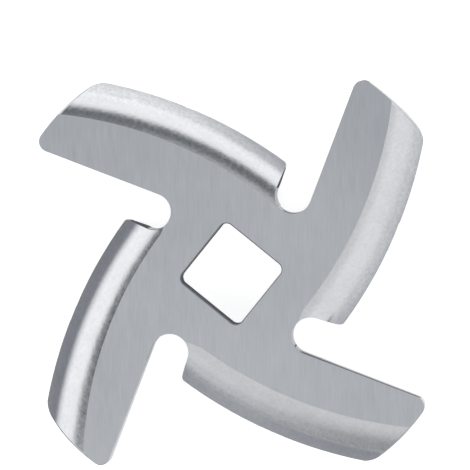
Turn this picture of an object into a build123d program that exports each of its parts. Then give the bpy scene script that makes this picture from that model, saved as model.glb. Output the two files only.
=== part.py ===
"""Four-armed meat grinder knife, formed in one piece from stainless sheet.

The blank is a pinwheel: four arms set around a square hub, each one lying to one side of
the centre. The straight side of an arm is its cutting edge, and the curved side behind it
is bent down into a wing. The top is then ground flat across all four arms, which leaves a
crisp line where the flat cuts each bend. A square hole seats the knife on the worm's shaft.

Millimetres. The origin is on the hole's axis, level with the wings' lowest edge. +Z points
out of the ground cutting face, and X and Y run along the flats of the square hole.
"""

import os
from math import asin, cos, radians, sin, tan

from build123d import *

# Blank
sweep_diameter = 54.0  # circle that the arm tips turn in
arm_count = 4
lead_offset = 5.54  # cutting edge to the parallel line through the axis
lead_angle = 18.2  # cutting edges, turned from the flats of the square hole
slot_width = 4.2  # round-ended slot that frees the inner end of each wing
slot_depth = 7.0  # a wing's crown line to the round end of a slot
lead_corner_radius = 1.2
wing_corner_radius = 3.2
wing_root_radius = 0.9  # between a wing's edge and the slot
sheet_thickness = 3.0
edge_round = 0.25  # tumbled edges of the formed blank

# Wings
wing_edge_radius = 51.8  # plan radius of a wing's outer edge
crown_reach = 15.85  # axis to the line that touches the wing's edge at its crown
crown_position = 12.85  # crown's distance along the arm
bend_inner_radius = 3.8
bend_angle = 70.0
wing_edge_round = 0.6  # along a wing's outer edge
hub_land = 0.3  # flat kept past the round end of a slot, before the bend sets in

# Ground cutting face
grind_least = 0.01  # stock ground off the tip that stands lowest
grind_tilt = 0.39  # the blank leans this much in the grinding fixture
grind_high_side = 121.0  # heading of the side that stands high and loses most

# Square hole
hole_side = 8.7
hole_corner_radius = 0.85
hole_edge_break = 0.12

tip_radius = sweep_diameter / 2
slot_floor = crown_reach - slot_depth
bend_outer_radius = bend_inner_radius + sheet_thickness
edge_centre_radius = bend_outer_radius - wing_edge_round
edge_centre_angle = radians(bend_angle) - asin(wing_edge_round / edge_centre_radius)
wing_overhang = edge_centre_radius * sin(edge_centre_angle) + wing_edge_round
bend_line_radius = wing_edge_radius - wing_overhang
wing_centre_y = wing_edge_radius - crown_reach
slot_x = slot_width / 2 - lead_offset
trim_clearance = 0.1  # the trim line stands this far outside the wing's edge
grind_depth = grind_least + tip_radius * tan(radians(grind_tilt))  # at the axis


def arm_outline():
    """Plan of one arm that points along +X, with its wing on the -Y side."""
    swept = Circle(tip_radius)
    behind_edge = Pos(-lead_offset, -lead_offset) * Rectangle(
        2 * sweep_diameter, sweep_diameter, align=(Align.MIN, Align.MAX)
    )
    wing_side = Pos(crown_position, wing_centre_y) * Circle(wing_edge_radius + trim_clearance)
    outline = swept & behind_edge & wing_side
    wing_corner, lead_corner = outline.vertices().sort_by(Axis.X)[-2:].sort_by(Axis.Y)
    outline = fillet(lead_corner, lead_corner_radius)
    wing_corner = outline.vertices().sort_by_distance(wing_corner)[0]
    outline = fillet(wing_corner, wing_corner_radius)
    slot = Pos(slot_x, -slot_floor - slot_width / 2) * (
        Circle(slot_width / 2) + Rectangle(slot_width, sweep_diameter, align=(Align.CENTER, Align.MAX))
    )
    outline -= slot
    slot_mouth = (slot_x + slot_width / 2, -crown_reach)
    root_corner = outline.vertices().sort_by_distance(slot_mouth)[0]
    return fillet(root_corner, wing_root_radius)


def sheet_section():
    """Radial section of the sheet: flat, then the wing's bend, as X = radius and Y = height."""
    bend_centre = (bend_line_radius, -bend_outer_radius)
    start_radius = wing_centre_y / 2
    end_angle = 90 - bend_angle
    top = Line((start_radius, 0), (bend_line_radius, 0))
    outside = CenterArc(bend_centre, bend_outer_radius, 90, -bend_angle)
    inside = CenterArc(bend_centre, bend_inner_radius, end_angle, bend_angle)
    edge = Line(outside @ 1, inside @ 0)
    bottom = Line(inside @ 1, (start_radius, -sheet_thickness))
    start = Line(bottom @ 1, top @ 0)
    section = make_face(Curve() + [top, outside, edge, inside, bottom, start])
    wing_edge = section.vertices().sort_by_distance(edge @ 0.5)[:2]
    return fillet(wing_edge, wing_edge_round)


def bent_zone():
    """Plan of what the press bends with one arm: all but the hub and its strip of flat."""
    beside_slot = Pos(slot_x, 0) * Rectangle(
        2 * sweep_diameter, 2 * sweep_diameter, align=(Align.MIN, Align.CENTER)
    )
    hub_flat = Pos(slot_x, -slot_floor - hub_land) * Rectangle(
        slot_floor + slot_width - slot_x, sweep_diameter, align=(Align.MIN, Align.MIN)
    )
    return beside_slot - hub_flat


def bent_arm():
    """One arm's wing, bent down about an arc that shares the wing edge's centre."""
    sheet = revolve(Plane.XZ * sheet_section(), Axis.Z, 180)
    sheet = Pos(crown_position, wing_centre_y) * Rot(0, 0, 180) * sheet
    bent = sheet & extrude(arm_outline() & bent_zone(), amount=2 * bend_outer_radius, both=True)
    lead_edges = bent.edges().filter_by(Axis.X).sort_by(Axis.Y)[-2:]
    return fillet(lead_edges, edge_round)


def flat_hub():
    """The hub and the root of each arm, as far as the sheet stays flat."""
    plan = Rectangle(2 * slot_floor, 2 * slot_floor)
    root = arm_outline() - bent_zone()
    for i in range(arm_count):
        plan += Rot(0, 0, i * 360 / arm_count) * root
    hub = extrude(plan, amount=-sheet_thickness)
    slot_ends = hub.edges().filter_by(GeomType.CIRCLE)
    return fillet(slot_ends, edge_round)


def formed_blank():
    """The whole formed sheet with its edges tumbled, before grinding, with its top at Z = 0."""
    arm = bent_arm()
    arms = [Rot(0, 0, i * 360 / arm_count) * arm for i in range(arm_count)]
    blank = flat_hub() + arms
    return Rot(0, 0, lead_angle) * blank.fix()


def ground(blank):
    """The blank leaned about the hub's top centre, with all that stands above the grind gone."""
    heading = radians(grind_high_side - 90)
    lean_axis = Axis((0, 0, 0), (cos(heading), sin(heading), 0))
    stock = Box(
        2 * sweep_diameter,
        2 * sweep_diameter,
        sheet_thickness,
        align=(Align.CENTER, Align.CENTER, Align.MIN),
    )
    return blank.rotate(lean_axis, grind_tilt) - Pos(0, 0, -grind_depth) * stock


def knife():
    """The finished knife, standing on its wings' edges."""
    seat = RectangleRounded(hole_side, hole_side, hole_corner_radius)
    pierced = ground(formed_blank()) - extrude(seat, amount=2 * sheet_thickness, both=True)
    rims = [rim for face in pierced.faces() for rim in face.inner_wires()]
    finished = chamfer([edge for rim in rims for edge in rim.edges()], hole_edge_break)
    return Pos(0, 0, -finished.bounding_box().min.Z) * finished


os.makedirs("parts", exist_ok=True)
export_step(knife(), "parts/knife.step")
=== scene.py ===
"""Looks for a meat grinder knife: ground steel face, tumbled wings, studio light and camera."""
from math import atan, cos, radians, sin

import bpy
from mathutils import Matrix, Vector


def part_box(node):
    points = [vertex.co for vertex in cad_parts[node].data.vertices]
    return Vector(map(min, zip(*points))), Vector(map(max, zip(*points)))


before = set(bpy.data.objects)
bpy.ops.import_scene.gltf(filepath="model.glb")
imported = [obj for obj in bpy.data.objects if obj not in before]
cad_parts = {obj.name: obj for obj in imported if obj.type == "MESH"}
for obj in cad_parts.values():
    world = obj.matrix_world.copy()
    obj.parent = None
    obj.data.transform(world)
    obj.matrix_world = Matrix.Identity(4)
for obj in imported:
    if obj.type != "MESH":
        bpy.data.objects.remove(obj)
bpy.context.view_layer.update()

MM = 0.001
NOISE_RANGE = (0.3, 0.7)  # what most of a noise texture's values lie between

# Camera, as it stands over the knife
AIM = Vector((-2.448, 3.756, 5.29)) * MM
AIM_DISTANCE = 457.0 * MM
TILT = radians(6.11)
TILT_HEADING = radians(67.6)
UP_HEADING = radians(129.1)
HALF_FRAME_PX = 235
FOCAL_PX = 4000

# Ground face
GROUND_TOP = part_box("knife")[1].z
GROUND_BAND = 0.012 * MM
GRAIN_HEADING = radians(128.85)
SCRATCH_SIZE = (3.0 * MM, 0.15 * MM)  # along the grain and across it
STREAK_SIZE = (12.0 * MM, 1.3 * MM)
SCRATCH_RELIEF = 0.6
# painted light: the ground face is painted lighter towards this heading, as the light falls on it
PAINTED_LIGHT_HEADING = radians(278.0)
FACE_COLOUR = (0.588, 0.611, 0.650)
FACE_ROUGHNESS = 0.42
LIGHTER_HUB = (22.0 * MM, 10.0 * MM)  # the face lightens from the first reach to the second

# Tumbled wings
WING_COLOUR = (0.620, 0.630, 0.652)
WING_ROUGHNESS = 0.18
PEBBLE_SCALE = 2600.0
PEBBLE_RELIEF = 2.4
RIPPLE_SCALE = 750.0
RIPPLE_RELIEF = 4.5
BRIGHTEST_PAINTED_REFLECTION = radians(39.0)  # painted reflection: the low skin is painted brightest towards this heading
GLOOM_STEP = radians(195.0)  # the painted reflection on the low skin, like the studio's gloom by the dim corner, changes fast across this one
SKIN_LEAN = radians(61.0)  # the low skin, where the reflection is painted, sets in lower down towards this one
# the darkest the painted reflection on the low skin gets
DARKEST_PAINTED_REFLECTION = 0.33
PAINTED_REFLECTION_CAST = (1.06, 1.03, 0.95)  # powers per channel: the darker the painted reflection, the bluer it is
RELIEF_DEPTH = 0.004 * MM
RELIEF_STRENGTH = 0.8

# Sheared walls, with painted light and painted shade
WALL_DARK_DEPTH = 0.8 * MM
WALL_LIGHT_DEPTH = 1.8 * MM
BORE_REACH = 7.9 * MM
ROOT_WALL_OFFSET = 1.34 * MM  # axis to the plane of a wing's root wall
LIT_WALL_HEADING = radians(25.0)  # outer walls that face this way are painted light, as lit from this side
# the dull sheared finish; in the bore it also stands as painted shade
DARK_WALL_COLOUR = (0.26, 0.27, 0.29, 1.0)
# the lighter lower fracture zone, and painted light on walls facing the lit side
LIT_AND_FRACTURED_WALL_COLOUR = (0.80, 0.81, 0.83, 1.0)
DARK_WALL_SHEEN = (0.25, 0.25, 0.27, 1.0)
WALL_ROUGHNESS = 0.5
WHITE = (1.0, 1.0, 1.0, 1.0)

# Studio
WINDOW = radians(150.0)
WINDOW_RISE = radians(243.0)  # the window's top edge is highest on this side
DIM_CORNER = radians(280.0)
STUDIO_LEVEL = 1.55
FLOOR_SIZE = 4.0
FLOOR_COLOUR = (0.85, 0.85, 0.85, 1.0)
FLOOR_SEEN = 0.72  # glow that brings the floor to white for the camera
FLOOR_MIRRORED = 0.30  # and for metal and glass

# Levels from the horizon, or below it, up to straight above: (height, level, share of blue)
WINDOW_LEVELS = [(0.0, 0.87), (0.56, 0.87), (0.735, 0.12, 0.07), (0.86, 0.14, 0.07), (0.975, 0.44)]
ROOM_LEVELS = [(0.0, 0.66), (0.30, 0.68), (0.60, 0.70), (0.85, 0.56), (0.97, 0.44)]
CORNER_LEVELS = [
    (0.0, 0.46), (0.05, 0.45), (0.17, 0.43, 0.02), (0.30, 0.42, 0.02),
    (0.62, 0.53), (0.88, 0.57), (0.97, 0.46),
]


def heading(angle):
    return Vector((cos(angle), sin(angle), 0.0))


class Graph:
    """Short calls for building a node tree."""

    def __init__(self, tree):
        self.nodes = tree.nodes
        self.links = tree.links
        self.nodes.clear()

    def link(self, value, socket):
        if isinstance(value, bpy.types.NodeSocket):
            self.links.new(value, socket)
        else:
            socket.default_value = value

    def add(self, kind, inputs=None, **settings):
        node = self.nodes.new(kind)
        for name, value in settings.items():
            setattr(node, name, value)
        for key, value in (inputs or {}).items():
            self.link(value, node.inputs[key])
        return node

    def math(self, operation, a, b=0.0):
        return self.add("ShaderNodeMath", {0: a, 1: b}, operation=operation).outputs[0]

    def total(self, first, *others):
        for other in others:
            first = self.math("ADD", first, other)
        return first

    def remap(self, value, low, high, to_low=0.0, to_high=1.0):
        node = self.add(
            "ShaderNodeMapRange",
            {"Value": value, "From Min": low, "From Max": high, "To Min": to_low, "To Max": to_high},
            interpolation_type="SMOOTHSTEP",
        )
        return node.outputs["Result"]

    def noise(self, vector, scale, detail=2.0, roughness=0.5, spread=None):
        node = self.add(
            "ShaderNodeTexNoise",
            {"Vector": vector, "Scale": scale, "Detail": detail, "Roughness": roughness},
        )
        if spread is None:
            return node.outputs[0]
        return self.swing(node.outputs[0], spread)

    def swing(self, noise, spread):
        """Noise brought to a value that swings by spread to either side of 0."""
        return self.remap(noise, *NOISE_RANGE, -spread, spread)

    def along(self, vector, angle):
        """How far a vector reaches along a heading."""
        node = self.add("ShaderNodeVectorMath", {0: vector, 1: heading(angle)}, operation="DOT_PRODUCT")
        return node.outputs["Value"]

    def plan(self, vector, operation):
        """A vector's LENGTH in plan, or the unit vector of its plan direction by NORMALIZE."""
        flat = self.add("ShaderNodeVectorMath", {0: vector, 1: (1.0, 1.0, 0.0)}, operation="MULTIPLY")
        node = self.add("ShaderNodeVectorMath", {0: flat.outputs[0]}, operation=operation)
        return node.outputs["Value" if operation == "LENGTH" else "Vector"]

    def streaked(self, vector, angle, length, width):
        """Coordinates in which noise becomes streaks along a heading."""
        return self.add("ShaderNodeCombineXYZ", {
            0: self.math("DIVIDE", self.along(vector, angle), length),
            1: self.math("DIVIDE", self.along(vector, angle + radians(90)), width),
        }).outputs[0]

    def grey(self, level):
        return self.add("ShaderNodeCombineColor", {0: level, 1: level, 2: level}).outputs[0]

    def times(self, a, b):
        """One colour multiplied by another."""
        node = self.add("ShaderNodeMix", {0: 1.0, 6: a, 7: b}, data_type="RGBA", blend_type="MULTIPLY")
        return node.outputs[2]

    def mix(self, factor, a, b, kind="FLOAT"):
        node = self.add("ShaderNodeMix", data_type=kind)
        first = {"FLOAT": 2, "RGBA": 6}[kind]
        self.link(factor, node.inputs[0])
        self.link(a, node.inputs[first])
        self.link(b, node.inputs[first + 1])
        return node.outputs[{"FLOAT": 0, "RGBA": 2}[kind]]

    def tint(self, tone, colour):
        """A colour with the same tone added to, or taken from, each channel."""
        channels = {i: self.math("ADD", tone, level) for i, level in enumerate(colour)}
        return self.add("ShaderNodeCombineColor", channels).outputs[0]


def wall_masks(g, place, height, normal, rise):
    """Where a surface is a sheared wall or steep in the bore, and where such a wall is light: its lower
    fracture zone, and painted light where it faces the lit side, never in the bore.
    """
    steepness = g.math("ABSOLUTE", rise)
    near_axis = g.remap(g.plan(place, "LENGTH"), BORE_REACH, BORE_REACH - 0.1 * MM)
    # painted shade: steep faces in the bore, its edge break too, take the dark wall colour and are never
    # painted light
    in_bore = g.math("MULTIPLY", near_axis, g.remap(steepness, 0.95, 0.85))
    sheared = g.math("MAXIMUM", in_bore, g.remap(steepness, 0.25, 0.08))
    low_wall = g.remap(height, GROUND_TOP - WALL_DARK_DEPTH, GROUND_TOP - WALL_LIGHT_DEPTH)
    # painted light on walls that face the lit heading; lighter low down, in the fracture zone
    bright = g.math("MAXIMUM", low_wall, g.remap(g.along(normal, LIT_WALL_HEADING), 0.15, 0.45))
    offset = g.add("ShaderNodeVectorMath", {0: place, 1: normal}, operation="DOT_PRODUCT").outputs["Value"]
    off_root = g.math("ABSOLUTE", g.math("SUBTRACT", offset, ROOT_WALL_OFFSET))
    bright = g.math("MULTIPLY", bright, g.remap(off_root, 0.2 * MM, 0.8 * MM))
    return sheared, g.math("MULTIPLY", bright, g.math("SUBTRACT", 1.0, in_bore))


def face_colour(g, place, scratch):
    tone = g.total(
        g.swing(scratch, 0.027),
        g.noise(g.streaked(place, GRAIN_HEADING, *STREAK_SIZE), 1.0, spread=0.010),
        g.noise(place, 90.0, 3.0, spread=0.015),
        # painted light: lighter towards one side of the face
        g.math("MULTIPLY", g.along(place, PAINTED_LIGHT_HEADING), 1.4),
        g.remap(g.plan(place, "LENGTH"), *LIGHTER_HUB, 0.0, 0.032),
    )
    return g.tint(tone, FACE_COLOUR)


def wing_colour(g, place, normal, rise, pebble):
    tone = g.total(g.swing(pebble, 0.025), g.noise(place, 420.0, 3.0, spread=0.015))
    # Painted reflection: the low skin is lightened or darkened by which way it faces and how steep it is, as
    # the floor and studio would show in it; the pebble adds grain
    facing = g.plan(normal, "NORMALIZE")
    lean = g.math("MULTIPLY", g.along(facing, SKIN_LEAN), 0.05)
    low_skin = g.remap(g.math("ADD", rise, lean), 0.80, 0.66)
    painted_reflection_and_grain = g.math("ADD", g.math("MULTIPLY", g.along(facing, BRIGHTEST_PAINTED_REFLECTION), 0.66), 0.81)
    painted_reflection_and_grain = g.math("MULTIPLY", painted_reflection_and_grain, g.remap(g.along(facing, GLOOM_STEP), -0.25, 0.25, 0.62, 1.28))
    painted_reflection_and_grain = g.math("MAXIMUM", painted_reflection_and_grain, DARKEST_PAINTED_REFLECTION)
    painted_reflection_and_grain = g.math("MULTIPLY", painted_reflection_and_grain, g.remap(rise, 0.40, 0.60, 0.85, 1.0))
    painted_reflection_and_grain = g.math("MULTIPLY", painted_reflection_and_grain, g.remap(pebble, *NOISE_RANGE, 0.95, 1.05))
    channels = {i: g.math("POWER", painted_reflection_and_grain, power) for i, power in enumerate(PAINTED_REFLECTION_CAST)}
    painted_reflection_and_grain = g.add("ShaderNodeCombineColor", channels).outputs[0]
    return g.times(g.tint(tone, WING_COLOUR), g.mix(low_skin, WHITE, painted_reflection_and_grain, "RGBA"))


def steel():
    material = bpy.data.materials.new("ground_and_tumbled_steel")
    material.use_nodes = True
    g = Graph(material.node_tree)
    place = g.add("ShaderNodeTexCoord").outputs["Object"]
    height = g.add("ShaderNodeSeparateXYZ", {0: place}).outputs[2]
    normal = g.add("ShaderNodeNewGeometry").outputs["Normal"]
    rise = g.add("ShaderNodeSeparateXYZ", {0: normal}).outputs[2]
    scratch = g.noise(g.streaked(place, GRAIN_HEADING, *SCRATCH_SIZE), 1.0, 3.0, 0.6)
    pebble = g.noise(place, PEBBLE_SCALE, 3.0, 0.6)

    at_top = g.remap(height, GROUND_TOP - GROUND_BAND, GROUND_TOP - GROUND_BAND / 2)
    ground = g.math("MULTIPLY", g.remap(rise, 0.985, 0.995), at_top)
    sheared, lit_and_fractured_wall = wall_masks(g, place, height, normal, rise)

    wing = wing_colour(g, place, normal, rise, pebble)
    # painted light on walls facing the lit side, painted shade in the bore
    wall = g.mix(lit_and_fractured_wall, DARK_WALL_COLOUR, LIT_AND_FRACTURED_WALL_COLOUR, "RGBA")
    colour = g.mix(ground, wing, face_colour(g, place, scratch), "RGBA")
    colour = g.mix(sheared, colour, wall, "RGBA")
    wall_sheen = g.mix(lit_and_fractured_wall, DARK_WALL_SHEEN, WHITE, "RGBA")
    edge_tint = g.mix(sheared, WHITE, wall_sheen, "RGBA")

    face_rough = g.math("ADD", g.swing(scratch, 0.05), FACE_ROUGHNESS)
    wing_rough = g.math("ADD", g.swing(pebble, 0.03), WING_ROUGHNESS)
    rough = g.mix(sheared, g.mix(ground, wing_rough, face_rough), WALL_ROUGHNESS)

    ripple = g.noise(place, RIPPLE_SCALE)
    wing_relief = g.total(
        g.math("MULTIPLY", pebble, PEBBLE_RELIEF),
        g.math("MULTIPLY", ripple, RIPPLE_RELIEF),
    )
    relief = g.mix(ground, wing_relief, g.math("MULTIPLY", scratch, SCRATCH_RELIEF))
    bump = g.add("ShaderNodeBump", {"Height": relief, "Distance": RELIEF_DEPTH, "Strength": RELIEF_STRENGTH})

    shader = g.add("ShaderNodeBsdfPrincipled", {
        "Base Color": colour,
        "Metallic": 1.0,
        "Specular Tint": edge_tint,
        "Roughness": rough,
        "Normal": bump.outputs[0],
    })
    g.add("ShaderNodeOutputMaterial", {0: shader.outputs[0]})
    return material


def floor():
    bpy.ops.mesh.primitive_plane_add(size=FLOOR_SIZE)
    plane = bpy.context.object
    plane.name = "floor"
    material = bpy.data.materials.new("pale_floor")
    material.use_nodes = True
    g = Graph(material.node_tree)
    path = g.add("ShaderNodeLightPath").outputs
    mirrored = g.math("MAXIMUM", path["Is Glossy Ray"], path["Is Transmission Ray"])
    seen = g.math("MULTIPLY", path["Is Camera Ray"], FLOOR_SEEN)
    seen = g.math("ADD", seen, g.math("MULTIPLY", mirrored, FLOOR_MIRRORED))
    matt = g.add("ShaderNodeBsdfDiffuse", {"Color": FLOOR_COLOUR})
    glow = g.add("ShaderNodeEmission", {"Color": WHITE, "Strength": seen})
    both = g.add("ShaderNodeAddShader", {0: matt.outputs[0], 1: glow.outputs[0]})
    g.add("ShaderNodeOutputMaterial", {0: both.outputs[0]})
    plane.data.materials.append(material)


def ramp(g, height, stops):
    """Levels by height, as a colour that leans to blue by each stop's share."""
    node = g.add("ShaderNodeValToRGB", {0: height})
    node.color_ramp.interpolation = "EASE"
    elements = node.color_ramp.elements
    while len(elements) < len(stops):
        elements.new(0.5)
    for element, (at, level, *blue) in zip(elements, stops):
        cast = blue[0] if blue else 0.0
        element.position = at
        element.color = (level * (1 - cast), level, level * (1 + cast), 1.0)
    return node.outputs[0]


def studio():
    world = bpy.data.worlds.new("studio")
    bpy.context.scene.world = world
    world.use_nodes = True
    g = Graph(world.node_tree)
    direction = g.add("ShaderNodeTexCoord").outputs["Generated"]
    z = g.add("ShaderNodeSeparateXYZ", {0: direction}).outputs[2]
    flat = g.plan(direction, "NORMALIZE")

    lowered = g.math("SUBTRACT", z, g.math("MULTIPLY", g.along(flat, WINDOW_RISE), 0.12))
    gloom = g.remap(g.along(flat, GLOOM_STEP), -0.25, 0.25, 0.68, 1.2)
    low_down = g.math("MULTIPLY", g.remap(z, 0.85, 0.45), g.remap(z, -0.05, 0.15))
    corner = g.times(ramp(g, z, CORNER_LEVELS), g.grey(g.mix(low_down, 1.0, gloom)))
    light = g.mix(g.remap(g.along(flat, DIM_CORNER), 0.2, 0.9), ramp(g, z, ROOM_LEVELS), corner, "RGBA")
    window = ramp(g, lowered, WINDOW_LEVELS)
    light = g.mix(g.remap(g.along(flat, WINDOW), -0.15, 0.45), light, window, "RGBA")
    sky = g.add("ShaderNodeBackground", {"Color": light, "Strength": STUDIO_LEVEL})
    g.add("ShaderNodeOutputWorld", {0: sky.outputs[0]})


def camera():
    lens = bpy.data.cameras.new("camera")
    lens.sensor_width = 36.0
    lens.angle = 2 * atan(HALF_FRAME_PX / FOCAL_PX)
    body = bpy.data.objects.new("camera", lens)
    bpy.context.scene.collection.objects.link(body)
    back = heading(TILT_HEADING) * sin(TILT) + Vector((0, 0, cos(TILT)))
    up = heading(UP_HEADING)
    up.z = -up.dot(back) / back.z
    up.normalize()
    turn = Matrix((up.cross(back), up, back)).transposed().to_4x4()
    body.matrix_world = Matrix.Translation(AIM + back * AIM_DISTANCE) @ turn
    lens.clip_start = 0.01
    bpy.context.scene.camera = body


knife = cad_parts["knife"]
finish = steel()
for slot in knife.material_slots:
    slot.material = finish
floor()
studio()
camera()
bpy.context.scene.view_settings.view_transform = "Standard"
